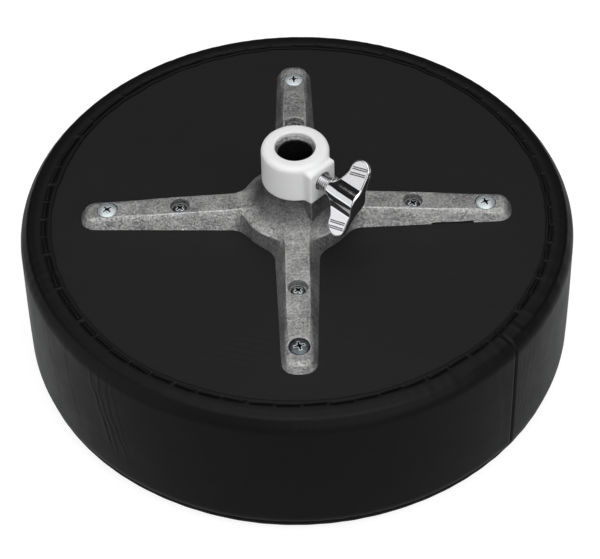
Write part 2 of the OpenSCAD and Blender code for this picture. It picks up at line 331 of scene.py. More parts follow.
class Look(Nodes):
    """A Principled material."""

    def __init__(self, name, **sockets):
        self.material = bpy.data.materials.new(name)
        self.material.use_nodes = True
        super().__init__(self.material.node_tree)
        self.shader = self.tree.nodes["Principled BSDF"]
        for socket, value in sockets.items():
            self.shader.inputs[socket.replace("_", " ")].default_value = value
        self.place = self.node("ShaderNodeTexCoord").outputs["Object"]

    def stretched(self, x, y, z):
        return self.node("ShaderNodeMapping", {"Vector": self.place, "Scale": (x, y, z)}).outputs[0]

    def noise(self, scale, detail=3.0, rough=0.5, place=None):
        inputs = {"Vector": place or self.place, "Scale": scale, "Detail": detail, "Roughness": rough}
        return self.node("ShaderNodeTexNoise", inputs).outputs["Fac"]

    def cells(self, scale, feature="F1"):
        inputs = {"Vector": self.place, "Scale": scale}
        return self.node("ShaderNodeTexVoronoi", inputs, feature=feature).outputs["Distance"]

    def weigh(self, a, share_a, b, share_b):
        """The sum of two values, each times its share."""
        return self.maths("ADD", self.maths("MULTIPLY", a, share_a), self.maths("MULTIPLY", b, share_b))

    def blend(self, share, first, second):
        """A colour from first to second by share."""
        first, second = [(*c, 1.0) if isinstance(c, tuple) else c for c in (first, second)]
        inputs = {0: share, 6: first, 7: second}
        return self.node("ShaderNodeMix", inputs, data_type="RGBA").outputs[2]

    def paint(self, share, first, second):
        self.set("Base Color", self.blend(share, first, second))

    def noted(self, name):
        return self.node("ShaderNodeAttribute", attribute_name=name).outputs["Fac"]

    def set(self, socket, value):
        self.tree.links.new(value, self.shader.inputs[socket])

    def bump(self, height, distance, strength):
        """Adds relief of height times distance millimetres under any relief that is there."""
        inputs = {"Height": height, "Distance": distance * MM, "Strength": strength}
        made = self.node("ShaderNodeBump", inputs)
        if self.shader.inputs["Normal"].is_linked:
            self.tree.links.new(self.shader.inputs["Normal"].links[0].from_socket, made.inputs["Normal"])
        self.tree.links.new(made.outputs[0], self.shader.inputs["Normal"])


def black_vinyl():
    look = Look("black_vinyl", Roughness=0.46, Specular_IOR_Level=0.16)
    grain = look.cells(900, feature="SMOOTH_F1")
    pores = look.noise(2600, 2.0)
    soft = look.noise(14, 4.0, 0.6)
    tone = look.blend(soft, (0.0022, 0.0022, 0.0023), (0.0036, 0.0036, 0.0038))
    # painted shade: near black where the notes mark staple grooves, seams and the cover's inner face
    look.paint(look.noted("painted_shade"), tone, (0.0006, 0.0006, 0.0006))
    scuffs = look.noise(60, 5.0, 0.65)
    gloss = look.ramp(look.maths("ADD", scuffs, soft), 0.6, 1.4, 0.4, 0.54)
    look.set("Roughness", look.maths("MAXIMUM", gloss, look.noted("painted_shade")))
    look.bump(grain, 0.05, 0.6)
    look.bump(pores, 0.015, 0.5)
    return look.material


def base_cloth():
    look = Look("base_cloth", Roughness=0.6, Specular_IOR_Level=0.2)
    streaks = look.noise(1.0, 3.0, 0.6, look.stretched(60, 900, 60))
    fibres = look.noise(1500, 3.0, 0.7)
    patches = look.noise(9, 3.0, 0.5)
    tone = look.weigh(streaks, 0.4, patches, 0.6)
    look.paint(tone, (0.0074, 0.0075, 0.0078), (0.0102, 0.0102, 0.0107))
    look.set("Roughness", look.ramp(streaks, 0.3, 0.7, 0.55, 0.68))
    look.bump(streaks, 0.05, 0.6)
    look.bump(fibres, 0.03, 0.5)
    return look.material


def cast_aluminium():
    """A speckled grey skin: painted highlights with wear on edges, painted shade in corners and recesses, and
    nearly black painted shade in the socket.
    """
    look = Look("cast_aluminium", Metallic=0.9, Roughness=0.42, Specular_IOR_Level=0.3)
    blotches = look.noise(75, 5.0, 0.7)
    speckle = look.noise(640, 5.0, 0.75)
    pits = look.noise(1700, 2.0, 0.6)
    tone = look.weigh(blotches, 0.35, speckle, 0.65)
    skin = look.blend(look.ramp(tone, 0.38, 0.62), (0.15, 0.149, 0.148), (0.73, 0.726, 0.72))
    wear_and_painted_light = look.maths("MULTIPLY", look.noted("wear_and_painted_light"), look.ramp(speckle, 0.3, 0.7, 0.5, 1.3))
    # painted highlights with wear on sharp edges
    skin = look.blend(look.ramp(wear_and_painted_light, 0.12, 0.7, 0.0, 0.85), skin, (0.95, 0.95, 0.95))
    # painted shade in corners
    skin = look.blend(look.ramp(wear_and_painted_light, -0.1, -0.7, 0.0, 0.6), skin, (0.1, 0.1, 0.1))
    # painted shade: near black where the notes mark recesses, the socket and the places under the collar
    look.paint(look.noted("painted_shade"), skin, (0.008, 0.008, 0.008))
    look.set("Roughness", look.ramp(blotches, 0.3, 0.7, 0.36, 0.5))
    look.bump(speckle, 0.7, 1.0)
    look.bump(pits, 0.15, 0.7)
    look.bump(look.noise(230, 4.0, 0.6), 0.5, 0.5)
    return look.material


def white_nylon():
    look = Look("white_nylon", Roughness=0.38, Specular_IOR_Level=0.45, Subsurface_Weight=0.6,
                Subsurface_Radius=(1.0, 1.0, 1.0), Subsurface_Scale=0.004)
    cloud = look.noise(45, 3.0, 0.5)
    look.paint(cloud, (0.93, 0.93, 0.932), (0.95, 0.95, 0.952))
    fine = look.noise(900, 3.0, 0.6)
    look.set("Roughness", look.ramp(fine, 0.3, 0.7, 0.33, 0.45))
    look.bump(fine, 0.02, 0.5)
    return look.material


def plated(name, dark, light, rough, metallic=1.0):
    """Plated steel or zinc: fine clouds in its colour and gloss, painted shade in its recesses and painted
    highlights with wear on noted edges.
    """
    look = Look(name, Metallic=metallic, Roughness=rough)
    cloud = look.noise(260, 4.0, 0.6)
    # painted highlights with wear where the notes mark edges
    skin = look.blend(look.noted("wear_and_painted_light"), look.blend(cloud, dark, light), (0.9, 0.93, 0.95))
    # painted shade in recesses
    look.paint(look.noted("painted_shade"), skin, (0.012, 0.014, 0.015))
    fine = look.noise(1200, 3.0, 0.6)
    look.set("Roughness", look.ramp(fine, 0.3, 0.7, rough * 0.75, rough * 1.3))
    look.bump(fine, 0.01, 0.4)
    return look.material


def staple_enamel():
    look = Look("staple_steel", Metallic=0.0, Roughness=0.45, Specular_IOR_Level=0.16)
    worn = look.noise(900, 3.0, 0.6)
    look.paint(worn, (0.001, 0.001, 0.001), (0.0028, 0.0028, 0.0028))
    look.bump(worn, 0.02, 0.4)
    return look.material


def plywood():
    look = Look("plywood", Roughness=0.7)
    plies = look.node("ShaderNodeTexWave", {"Vector": look.place, "Scale": 130.0, "Distortion": 0.6},
                      bands_direction="Z").outputs["Fac"]
    grain = look.noise(1.0, 5.0, 0.6, look.stretched(20, 500, 500))
    tone = look.weigh(plies, 0.5, grain, 0.5)
    look.paint(tone, (0.32, 0.2, 0.1), (0.62, 0.46, 0.28))
    look.bump(grain, 0.1, 0.6)
    return look.material


def foam(name, dark, light, size):
    """Open-cell foam with pores of about size millimetres."""
    look = Look(name, Roughness=0.9, Specular_IOR_Level=0.2)
    pores = look.cells(1 / (size * MM))
    aged = look.noise(12, 3.0)
    tone = look.weigh(pores, 0.7, aged, 0.5)
    look.paint(tone, dark, light)
    look.bump(pores, 0.4, 0.8)
    return look.material


LOOKS = {
    "black_vinyl": black_vinyl(),
    "base_cloth": base_cloth(),
    "cast_aluminium": cast_aluminium(),
    "white_nylon": white_nylon(),
    "chrome_plate": plated("chrome_plate", (0.82, 0.82, 0.84), (0.9, 0.9, 0.91), 0.07),
    "bright_zinc": plated("bright_zinc", (0.46, 0.52, 0.54), (0.7, 0.75, 0.76), 0.3, metallic=0.6),
    "dark_zinc": plated("dark_zinc", (0.04, 0.047, 0.052), (0.17, 0.195, 0.205), 0.3),
    "yellow_zinc": plated("yellow_zinc", (0.5, 0.44, 0.24), (0.68, 0.62, 0.4), 0.35),
    "staple_steel": staple_enamel(),
    "plywood": plywood(),
    "firm_foam": foam("firm_foam", (0.34, 0.34, 0.33), (0.55, 0.55, 0.53), 1.6),
    "soft_foam": foam("soft_foam", (0.62, 0.6, 0.5), (0.82, 0.8, 0.7), 1.1),
}


# ---- camera, floor and light

def studio_camera():
    """The view from above the front edge of the seat, with a long lens."""
    elevation, roll = math.radians(46.38), math.radians(-1.26)
    distance, target = 1.6875, Vector((0.0013, 0.0426, 0.0))
    back = Vector((0, -math.cos(elevation), math.sin(elevation)))
    right, up = Vector((1, 0, 0)), back.cross(Vector((1, 0, 0)))
    turned = Matrix((right, up, back)).transposed() @ Matrix.Rotation(roll, 3, "Z")
    data = bpy.data.cameras.new("camera")
    data.lens, data.sensor_width = 147.9, 36.0
    camera = bpy.data.objects.new("camera", data)
    camera.matrix_world = Matrix.Translation(target + distance * back) @ turned.to_4x4()
    bpy.context.scene.collection.objects.link(camera)
    bpy.context.scene.camera = camera


FLOOR_PROFILE = [
    # radius and height in metres, from the opening under the seat out to the wall and over to the ceiling
    (0.15, 0), (0.3, 0), (0.6, 0), (1.2, 0), (2.4, 0), (3.6, 0.02), (4.2, 0.2), (4.6, 0.7), (4.8, 3.5),
    (4.2, 5.2), (2.6, 6.6), (0.02, 7.2),
]


def floor():
    """A pale floor, wall and ceiling, see-through from outside and seen by the camera alone."""
    columns = 96
    angles = np.arange(columns) * TURN / columns
    points = [(r * math.cos(a), r * math.sin(a), h) for r, h in FLOOR_PROFILE for a in angles]
    look = Look("floor", Base_Color=(0.3, 0.3, 0.3, 1.0), Roughness=0.9, Specular_IOR_Level=0.0,
                Emission_Color=(1.0, 1.0, 1.0, 1.0), Emission_Strength=0.85)
    see_through = look.node("ShaderNodeBsdfTransparent")
    side = look.node("ShaderNodeNewGeometry").outputs["Backfacing"]
    mixed = look.node("ShaderNodeMixShader", {0: side, 1: look.shader.outputs[0], 2: see_through.outputs[0]})
    output = look.tree.nodes["Material Output"]
    look.tree.links.new(mixed.outputs[0], output.inputs["Surface"])
    faces = ring_faces(len(FLOOR_PROFILE), columns, flip=True)
    thing = mesh_object("floor", np.array(points) / MM, faces, look.material)
    thing.visible_glossy = thing.visible_diffuse = thing.visible_shadow = False


SKY, FLOOR_GLOW, FAR_GLOW = 0.03, 0.38, 0.42
SOFTBOXES = {
    # place and size in metres, and radiance
    "key": ((0.35, -1.4, 1.9), (2.6, 1.2), 2.6),
    "overhead": ((0.0, 0.0, 2.3), (2.4, 1.8), 1.7),
    "back": ((0.0, 1.4, 1.85), (2.0, 1.0), 0.95),
    "left": ((-2.0, -0.75, 0.6), (2.4, 2.2), 0.8),
    "right": ((1.7, -1.5, 0.9), (1.2, 1.2), 1.6),
    "low_front": ((0.5, -2.2, 0.45), (1.9, 0.8), 1.3),
}


def softbox(name, place, size, radiance, target=(0, 0, 0.08)):
    """An area light of a given radiance that faces the seat."""
    data = bpy.data.lights.new(name, "AREA")
    data.shape, data.size, data.size_y = "RECTANGLE", *size
    data.energy = radiance * math.pi * size[0] * size[1]
    light = bpy.data.objects.new(name, data)
    back = (Vector(place) - Vector(target)).normalized()
    light.matrix_world = Matrix.Translation(place) @ back.to_track_quat("Z", "Y").to_matrix().to_4x4()
    bpy.context.scene.collection.objects.link(light)


def light_studio():
    """Softboxes round the seat, and a world that is pale below the horizon and most of all behind."""
    world = bpy.data.worlds.new("studio")
    world.use_nodes = True
    tree = world.node_tree
    nodes = Nodes(tree)

    def fade(axis, low, high, start, end):
        """A value from start to end, as a coordinate of the direction goes from low to high."""
        where = nodes.node("ShaderNodeTexCoord").outputs["Generated"]
        split = nodes.node("ShaderNodeSeparateXYZ", {0: where})
        return nodes.ramp(split.outputs[axis], low, high, start, end)

    far = fade("Y", -0.1, 0.62, FLOOR_GLOW, FLOOR_GLOW + FAR_GLOW)
    glow = nodes.maths("MULTIPLY", far, fade("Z", -0.2, 0.05, 1.0, SKY))
    background = tree.nodes["Background"]
    tree.links.new(glow, background.inputs["Strength"])
    background.inputs["Color"].default_value = (0.98, 0.99, 1.0, 1)
    bpy.context.scene.world = world
    for name, (where, size, radiance) in SOFTBOXES.items():
        softbox(name, where, size, radiance)
    bpy.context.scene.view_settings.view_transform = "Standard"


# ---- the upholstered cushion

STAPLES = 64
CROWN = 12.8  # length of a staple across its two legs
staple_turns = (np.arange(STAPLES) + 0.5) * TURN / STAPLES
staple_turns = staple_turns + rng.uniform(-1, 1, STAPLES) * math.radians(0.35)
staple_radii = STAPLE_R + rng.uniform(-0.5, 0.5, STAPLES)
staple_skews = rng.normal(0, math.radians(2.0), STAPLES)


def angle_from(angle, centre):
    """The signed angle from centre, in radians."""
    return (angle - centre + math.pi) % TURN - math.pi


def away_from(angle, degrees, radius):
    """The signed distance round the seat from a place given in degrees."""
    return angle_from(angle, math.radians(degrees)) * radius


SEAM_TURN = -math.asin((SIT_ROUND - SEAM_Z) / SIT_ROUND)  # where the seam lies on the rounding


def rounded(centre_z, size, turns):
    """Rows of the cover's profile on a rounding: radius, height and the outward normal."""
    out, rise = np.cos(turns), np.sin(turns)
    return np.stack([SEAT_R - size + size * out, centre_z + size * rise, out, rise])


def straight(radius, height, out, rise):
    """Rows of the cover's profile on a straight stretch."""
    return np.stack(np.broadcast_arrays(radius, height, float(out), float(rise)))


def band_profile():
    """The side band's profile, from its sewn edge up and over the rim."""
    low = np.linspace(SEAM_TURN, 0, 22, endpoint=False)
    side = np.linspace(SIT_ROUND, FLANGE_Z - RIM_ROUND, 72, endpoint=False)
    high = np.linspace(0, math.pi / 2, 26, endpoint=False)
    flat = np.linspace(SEAT_R - RIM_ROUND, FLANGE_R, 18)
    return np.hstack([rounded(SIT_ROUND, SIT_ROUND, low), straight(SEAT_R, side, 1, 0),
                      rounded(FLANGE_Z - RIM_ROUND, RIM_ROUND, high), straight(flat, FLANGE_Z, 0, 1)])


def staple_pull(angle, radius):
    """How deep the staples pull the turned-over edge down, in millimetres."""
    depth = np.zeros(np.broadcast(angle, radius).shape)
    for turn_k, radius_k in zip(staple_turns, staple_radii):
        along = np.abs(angle_from(angle, turn_k)) * radius_k
        reach = smooth_step(CROWN / 2 + 1.4, CROWN / 2 + 0.1, along)
        depth = np.maximum(depth, reach * bell(radius - radius_k, 1.7))
    return depth


CREASES = [
    # angle at the rim and at the foot in degrees, height and width in millimetres
    (-136.3, -131.0, 0.2, 1.0),
    (-135.2, -131.7, 0.14, 0.8),
    (-133.9, -130.4, 0.17, 1.1),
    (-132.2, -127.9, 0.16, 1.2),
    (-130.6, -126.4, 0.08, 1.4),
    (-145.0, -142.0, 0.06, 1.6),
    (-152.0, -149.5, 0.07, 1.4),
    (-39.2, -40.6, 0.06, 0.9),
    (-38.0, -39.9, 0.05, 0.8),
    (-36.4, -39.0, 0.05, 0.9),
    (-34.2, -37.4, 0.04, 1.2),
    (-47.0, -45.4, 0.05, 2.0),
]
PUCKERS = (-92.4, -90.6, -89.3, -87.9)  # degrees, under the rim in front
RIM_CREST = math.radians(57)  # how far round the rim its ridge lies
GRAINY = ((-97, 0.25, 0.7), (-32, 0.16, 1.0), (-160, 0.2, 1.0))  # degrees, width in radians and strength


def band_relief(angle, radius, height, path):
    """Height of the vinyl over its plain shape, in millimetres, round the seat and up its side.

    path is the distance from the sewn edge, along the profile.
    """
    share = np.clip((height - SEAM_Z) / (FLANGE_Z - SEAM_Z), 0, 1)
    belly = np.sin(math.pi * share)
    relief = 0.3 * wavy(angle, 2, 5, 1) * belly + 0.1 * wavy(angle + 0.3 * share, 9, 9, 2) * belly
    relief += 0.5 * belly * (1 - share) - 0.25
    relief -= 1.2 * np.exp(-path / 0.8)
    relief -= 0.06 * np.exp(-path / 10) * (1 + wavy(angle, 60, 24, 3))
    on_top = smooth_step(FLANGE_Z - 4, FLANGE_Z - 0.5, height)
    fold = np.arctan2(height - (FLANGE_Z - RIM_ROUND), radius - (SEAT_R - RIM_ROUND))
    relief += 0.6 * bell((fold - RIM_CREST) * RIM_ROUND, 2.1)
    relief -= staple_pull(angle, radius) * on_top
    for degrees in PUCKERS:
        relief -= 0.22 * bell(away_from(angle, degrees, SEAT_R), 0.9) * bell(height - (FLANGE_Z - 9), 6)
    near_rim = np.exp(-(FLANGE_Z - height) / 7.0)
    pleats = wavy(angle, 58, 16, 4) + 0.8 * wavy(angle + 0.02 * radius / SEAT_R, 110, 30, 5)
    relief += 0.07 * pleats * near_rim * (1 - 0.3 * on_top)
    relief += grain_relief(angle, share) * belly ** 0.5
    return relief + crease_relief(angle, share) + side_seam_relief(angle, radius, height)


def grain_relief(angle, share):
    """Fine upright lines in the vinyl, in patches, by angle and share of the height."""
    zone = 0.2 + sum(strength * bell(angle_from(angle, math.radians(degrees)), width)
                     for degrees, width, strength in GRAINY)
    streaks = wavy(angle + 0.07 * share, 290, 90, 6) + 0.8 * wavy(angle - 0.05 * share, 400, 60, 7)
    patches = wavy(angle + 5 * share, 14, 12, 13) * wavy(angle - 8 * share, 9, 14, 15)
    return 0.015 * np.clip(streaks, -1.5, 1.5) * np.clip(0.4 + 0.8 * patches, 0, 1.5) * zone


def crease_relief(angle, share):
    """The leaning creases of the band, each a ridge with a valley beside it."""
    relief = 0.0
    for at_rim, at_foot, tall, wide in CREASES:
        lean = smooth_step(0.85, 0.1, share)
        centre = math.radians(at_rim) + math.radians(at_foot - at_rim) * lean
        kink = 0.006 * np.sin(9 * share + at_rim) + 0.0025 * np.sin(31 * share + 3 * at_rim)
        across = angle_from(angle, centre + kink) * SEAT_R
        fade = smooth_step(0.02, 0.4, share) * smooth_step(1.0, 0.85, share)
        relief += tall * fade * (bell(across, wide) - 0.7 * bell(across - 1.7 * wide, wide))
    return relief


SEAM_FOLDS = [
    # angle in degrees, height and width in millimetres, where the rim folds beside the side seam
    (-38.0, 0.28, 1.4),
    (-36.6, -0.15, 1.2),
    (-45.4, 0.2, 2.6),
    (-33.0, 0.15, 1.5),
]


def side_seam_relief(angle, radius, height):
    """The sewn joint up the side band: a narrow valley on a low ridge, and the folds beside it."""
    across = angle_from(angle, SIDE_SEAM) * radius
    open_top = smooth_step(FLANGE_R + 1.5, FLANGE_R + 5.0, radius)
    relief = (0.55 * np.exp(-np.abs(across) / 9) - 1.5 * bell(across, 0.9)) * open_top
    rim = smooth_step(FLANGE_Z - 9, FLANGE_Z - 1, height)
    for degrees, tall, wide in SEAM_FOLDS:
        fold = bell(away_from(angle, degrees, radius), wide)
        relief += tall * fold * rim * smooth_step(FLANGE_R, FLANGE_R + 4, radius)
    return relief


def raw_edge(angle):
    """How far the cut edge of the cover lies outside its plain circle: nearest to it on the left."""
    drift = 2.6 * (1 - bell(angle_from(angle, math.pi), 0.9))
    return drift + 0.4 * wavy(angle, 5, 14, 8) + 0.2 * wavy(angle, 40, 20, 9)


def side_band():
    """The side of the cover, from the seam below over the rim to its raw edge, with its own thickness."""
    columns = 1280
    radius, height, out, rise = band_profile()
    steps = np.hypot(np.diff(radius, prepend=radius[0]), np.diff(height, prepend=height[0]))
    path = np.cumsum(steps)
    angle = np.arange(columns) * TURN / columns
    turns, radii = np.meshgrid(angle, radius)
    heights, paths = np.repeat(height[:, None], columns, 1), np.repeat(path[:, None], columns, 1)
    relief = band_relief(turns, radii, heights, paths)
    slide = smooth_step(FLANGE_R + 6, FLANGE_R, radii) * (heights > FLANGE_Z - 0.01) * raw_edge(angle)
    outer = round_points(radii + relief * out[:, None] + slide, turns, heights + relief * rise[:, None])
    lining_rows = np.linspace(len(radius) - 1, 0, 60).round().astype(int)
    depth = VINYL_T - 0.1
    inner_r = radii + (relief - depth) * out[:, None] + slide
    inner_z = heights + (relief - depth) * rise[:, None]
    inner = round_points(inner_r, turns, inner_z)[lining_rows]
    points = np.vstack([outer.reshape(-1, 3), inner.reshape(-1, 3)])
    faces = looped_faces(len(radius) + len(lining_rows), columns)
    thing = piece("cover_side_band_sewn", "seat", "cover_side_band", points, faces)
    # painted shade: near black in the staple grooves, along the side seam, at the sewn edge and over the whole
    # inner face
    near_seam = bell(angle_from(turns, SIDE_SEAM) * radii, 0.75) * (radii > FLANGE_R + 4)
    painted_shade = np.maximum(staple_pull(turns, radii) * rise[:, None] ** 4, near_seam)
    painted_shade = np.maximum(painted_shade, np.exp(-paths / 1.4))
    note(thing, "painted_shade", np.concatenate([painted_shade.ravel(), np.ones(inner.size // 3)]))


def panel_relief(angle, path):
    """Lift of the sitting face over its plain shape, by path, the distance from the seam."""
    relief = 0.6 * bell(path - 5, 4.5) * (1 - np.exp(-path / 0.8))
    relief += 0.1 * wavy(angle, 60, 24, 3) * np.exp(-path / 8)
    relief += 0.2 * wavy(angle, 4, 8, 11) * bell(path - 12, 12)
    return relief - 1.4 * np.exp(-path / 0.9)


def top_panel():
    """The round panel of the sitting face, flat where it rests and sewn to the band at its edge."""
    columns = 640
    flat = np.linspace(0.4, SEAT_R - SIT_ROUND, 70, endpoint=False)
    curve = np.linspace(-math.pi / 2, SEAM_TURN, 26)
    radius, height, out, rise = np.hstack([straight(flat, 0, 0, -1), rounded(SIT_ROUND, SIT_ROUND, curve)])
    angle = np.arange(columns) * TURN / columns
    steps = np.hypot(np.diff(radius, append=radius[-1]), np.diff(height, append=height[-1]))
    path = np.cumsum(steps[::-1])[::-1]
    turns, radii = np.meshgrid(angle, radius)
    paths = np.repeat(path[:, None], columns, 1)
    relief = panel_relief(turns, paths)
    rings = []
    for depth, rows in ((0.0, np.arange(len(radius))), (VINYL_T - 0.1, np.arange(len(radius))[::-3])):
        across = radii + (relief - depth) * out[:, None]
        z = height[:, None] + (relief - depth) * rise[:, None]
        rings.append(round_points(across, turns, z)[rows])
    points = np.vstack([r.reshape(-1, 3) for r in rings])
    faces = capped_faces(sum(map(len, rings)), columns, flip=True)
    thing = piece("cover_top_panel_sewn", "seat", "cover_top_panel", points, faces)
    # painted shade at the sewn edge, and over the whole inner face
    painted_shade = np.exp(-paths / 0.8)
    note(thing, "painted_shade", np.concatenate([painted_shade.ravel(), np.ones(len(points) - painted_shade.size)]))


STAPLE_SECTION = [
    # sideways and up from the middle of the wire's underside: flattened wire with eased edges
    (-0.55, 0.12), (-0.4, 0.6), (0.4, 0.6), (0.55, 0.12), (0.35, 0.0), (-0.35, 0.0),
]
GAUGE, LEG, SUNK = 0.6, 7.0, 0.95


def staple_rings(dive):
    """Rings of points along one staple, from leg over crown to leg: aside, along and up."""
    along = np.linspace(-CROWN / 2, CROWN / 2, 14)
    bow = 0.12 * (1 - (2 * along / CROWN) ** 2)
    bend = np.where(np.abs(along) > CROWN / 2 - 0.05, -0.35, 0.0)
    top = FLANGE_Z - SUNK + dive + bow + bend
    path = [(-CROWN / 2, top[0] - LEG)] + list(zip(along, top)) + [(CROWN / 2, top[-1] - LEG)]
    rings = []
    for n, (s, z) in enumerate(path):
        end = n in (0, len(path) - 1)
        leg = end or abs(s) > CROWN / 2 - 0.05
        for side, lift in STAPLE_SECTION:
            shift = GAUGE * np.sign(s) * (0.5 - lift / GAUGE) if leg else 0.0
            rings.append((side, s - shift * 0.9, z + (0.0 if end else lift)))
    return np.array(rings)


def staples():
    """Black wire staples, each with a slightly bowed crown sunk in the vinyl."""
    points, faces = [], []
    count = len(STAPLE_SECTION)
    for turn_k, radius_k, skew in zip(staple_turns, staple_radii, staple_skews):
        rings = staple_rings(rng.uniform(-0.12, 0.12))
        first, rows = sum(map(len, points)), len(rings) // count
        x = radius_k + rings[:, 0] + rings[:, 1] * math.sin(skew)
        y = rings[:, 1] * math.cos(skew)
        c, s = math.cos(turn_k), math.sin(turn_k)
        points.append(np.stack([x * c - y * s, x * s + y * c, rings[:, 2]], -1))
        faces += [[first + index for index in face] for face in capped_faces(rows, count)]
    piece("cover_staples_driven", "seat", "cover_staples", np.vstack(points), faces, smooth=False)


def base_sheet():
    """The black cloth over the board, stretched flat but for faint ripples in front."""
    columns, rings = 512, 120
    angle = np.arange(columns) * TURN / columns
    radius = np.linspace(0.5, SHEET_R, rings)
    turns, radii = np.meshgrid(angle, radius)
    x, y = radii * np.cos(turns), radii * np.sin(turns)
    rippled = bell(np.hypot(x + 32, (y + 116) * 1.5), 26)
    ripple = np.sin((0.9 * x + 2.2 * y) * 0.55 + 0.02 * x * x / 10) * rippled
    relief = 0.15 * ripple + 0.05 * wavy(turns, 3, 6, 12) * radii / SHEET_R
    relief = relief * smooth_step(FLANGE_R, FLANGE_R - 8, radii) - 0.05
    top = np.stack([x, y, BASE_Z + relief], -1)
    bottom = np.stack([x, y, np.full_like(x, BASE_Z - SHEET_T + 0.02)], -1)[::-6]
    points = np.vstack([top.reshape(-1, 3), bottom.reshape(-1, 3)])
    faces = capped_faces(rings + len(bottom), columns)
    thing = piece("base_sheet_stretched", "seat", "base_sheet", points, faces)


# ---- the cast bracket

OUTER_SCREW = (node_end("outer_screw_right", LOW, X) + node_end("outer_screw_right", HIGH, X)) / 2
INNER_SCREW = (node_end("inner_screw_right", LOW, X) + node_end("inner_screw_right", HIGH, X)) / 2
ARM_HALF, SHOULDER, BEVEL_H = 6.8, 1.9, 1.6  # half the flat top, the bevel's width beside it and its drop
ARM_H, ARM_RISE, ARM_DRAFT, ARM_SQUARE = 6.8, 0.063, 0.52, 0.887
TIP_X, TIP_POWER = ARM_R - 11.3, 2.5
WEB_R, WEB_DRAFT, WEB_SQUARE = 37.2, 0.22, 0.976
FLARE_R, FLARE_AT = 23.47, 43.17  # the hollow curve from the web up to the tube
TUBE_R = 17.5
BOSS_OUT, BOSS_HALF, BOSS_TOP = 22.4, 9.6, 52.0  # the part of the boss inside the collar
FOOT_OUT, FOOT_HALF = 23.8, 10.4  # and the part below it
OUTER_FLOOR, INNER_FLOOR = ARM_H - 1.6, 5.1  # heights of the counterbores' floors
PRESSED = 0.7  # how far the casting is pressed into the cloth
GATE_START, GATE_END, GATE_DEPTH, GATE_H = 86.0, 113.0, 3.0, 0.55
PIN_X, PIN_RING, PIN_LINE, PIN_DEPTH = 103.5, 3.1, 0.45, 0.28
SOCKET_FLOOR, MOUTH_DEPTH, MOUTH_SLOPE = 13.0, 2.6, 0.6
STUD_HOLE = 5.05


def arm_axes(x, y):
    """Distance out along the nearest arm, and distance beside its middle."""
    return np.maximum(np.abs(x), np.abs(y)), np.minimum(np.abs(x), np.abs(y))


def bolt_axes(x, y):
    """Distance out towards the wing bolt, and distance beside its axis."""
    return x * BOLT_AXIS[0] + y * BOLT_AXIS[1], np.abs(-x * BOLT_AXIS[1] + y * BOLT_AXIS[0])


def arms_field(x, y, z):
    """The four bevelled arms, with a gate mark broken off one side."""
    along, across = arm_axes(x, y)
    arm_h = ARM_H + (OUTER_SCREW - np.minimum(along, TIP_X)) * ARM_RISE
    reach = (np.maximum(along - TIP_X, 0) ** TIP_POWER + across ** TIP_POWER) ** (1 / TIP_POWER)
    beyond = reach - ARM_HALF - SHOULDER
    bevel_w = 1.3 + 1.5 * smooth_step(80, 132, along)
    side = (beyond - ARM_DRAFT * (arm_h - BEVEL_H - z)) * ARM_SQUARE
    bevel = ((beyond + bevel_w) * BEVEL_H + (z - arm_h) * bevel_w) / np.hypot(bevel_w, BEVEL_H)
    arm = cut_soft(cut_soft(side, bevel, 0.5), z - arm_h, 0.4)
    gate = np.maximum(np.maximum(GATE_START - x, x - GATE_END), np.maximum(-side - GATE_DEPTH, y))
    return cut_soft(arm, -np.maximum(gate, z - GATE_H), 0.5)


def hub_field(x, y, z):
    """The round web between the arms, which curves up to the collar's foot."""
    radius = np.hypot(x, y)
    web = (radius - WEB_R + WEB_DRAFT * z) * WEB_SQUARE
    flare = FLARE_R - np.hypot(radius - FLARE_AT, z - COLLAR_FOOT)
    flare = np.where(radius > FLARE_AT, FLARE_R - np.abs(z - COLLAR_FOOT), flare)
    return cut_soft(cut_soft(web, flare, 0.9), z - COLLAR_FOOT, 0.6)


def boss_field(x, y, z):
    """The square boss that the wing bolt is screwed through."""
    radial, beside = bolt_axes(x, y)
    boss = cut_soft(cut_soft(radial - BOSS_OUT, beside - BOSS_HALF, 1.0), z - BOSS_TOP, 1.0)
    foot = cut_soft(cut_soft(radial - FOOT_OUT, beside - FOOT_HALF, 0.7), z - COLLAR_FOOT, 0.4)
    return np.maximum(np.minimum(boss, foot), -radial)


def drilled(solid, away, z, pocket_r, floor_h, hole_r, edge):
    """A field with a screw's counterbore and hole cut in it; away is the distance from the screw's axis."""
    solid = cut_soft(solid, -np.maximum(away - pocket_r, floor_h - z), edge)
    return np.maximum(solid, hole_r - away)


def bracket_field(x, y, z):
    """Distance to the casting's skin, with z measured from the base."""
    radius = np.hypot(x, y)
    along, across = arm_axes(x, y)
    solid = join_soft(arms_field(x, y, z), hub_field(x, y, z), 7.0)
    solid = join_soft(solid, np.maximum(radius - TUBE_R, z - TUBE_TOP), 0.6)
    solid = join_soft(solid, boss_field(x, y, z), 0.9)
    solid = np.maximum(solid, -z - PRESSED)
    solid = drilled(solid, np.hypot(along - OUTER_SCREW, across), z, 6.6, OUTER_FLOOR, 3.4, 0.4)
    solid = drilled(solid, np.hypot(along - INNER_SCREW, across), z, 6.1, INNER_FLOOR, 2.8, 0.5)
    pin_h = ARM_H + (OUTER_SCREW - PIN_X) * ARM_RISE
    ring = np.abs(np.hypot(along - PIN_X, across) - PIN_RING) - PIN_LINE
    solid = np.maximum(solid, -np.maximum(ring, pin_h - PIN_DEPTH - z))
    mouth = np.maximum(z - (TUBE_TOP - MOUTH_DEPTH), 0) * MOUTH_SLOPE
    solid = cut_soft(solid, -np.maximum((radius - SOCKET_R - mouth) * 0.86, SOCKET_FLOOR - z), 0.3)
    radial, beside = bolt_axes(x, y)
    return np.maximum(solid, -np.maximum(np.hypot(beside, z - BOLT_H) - STUD_HOLE, -radial))


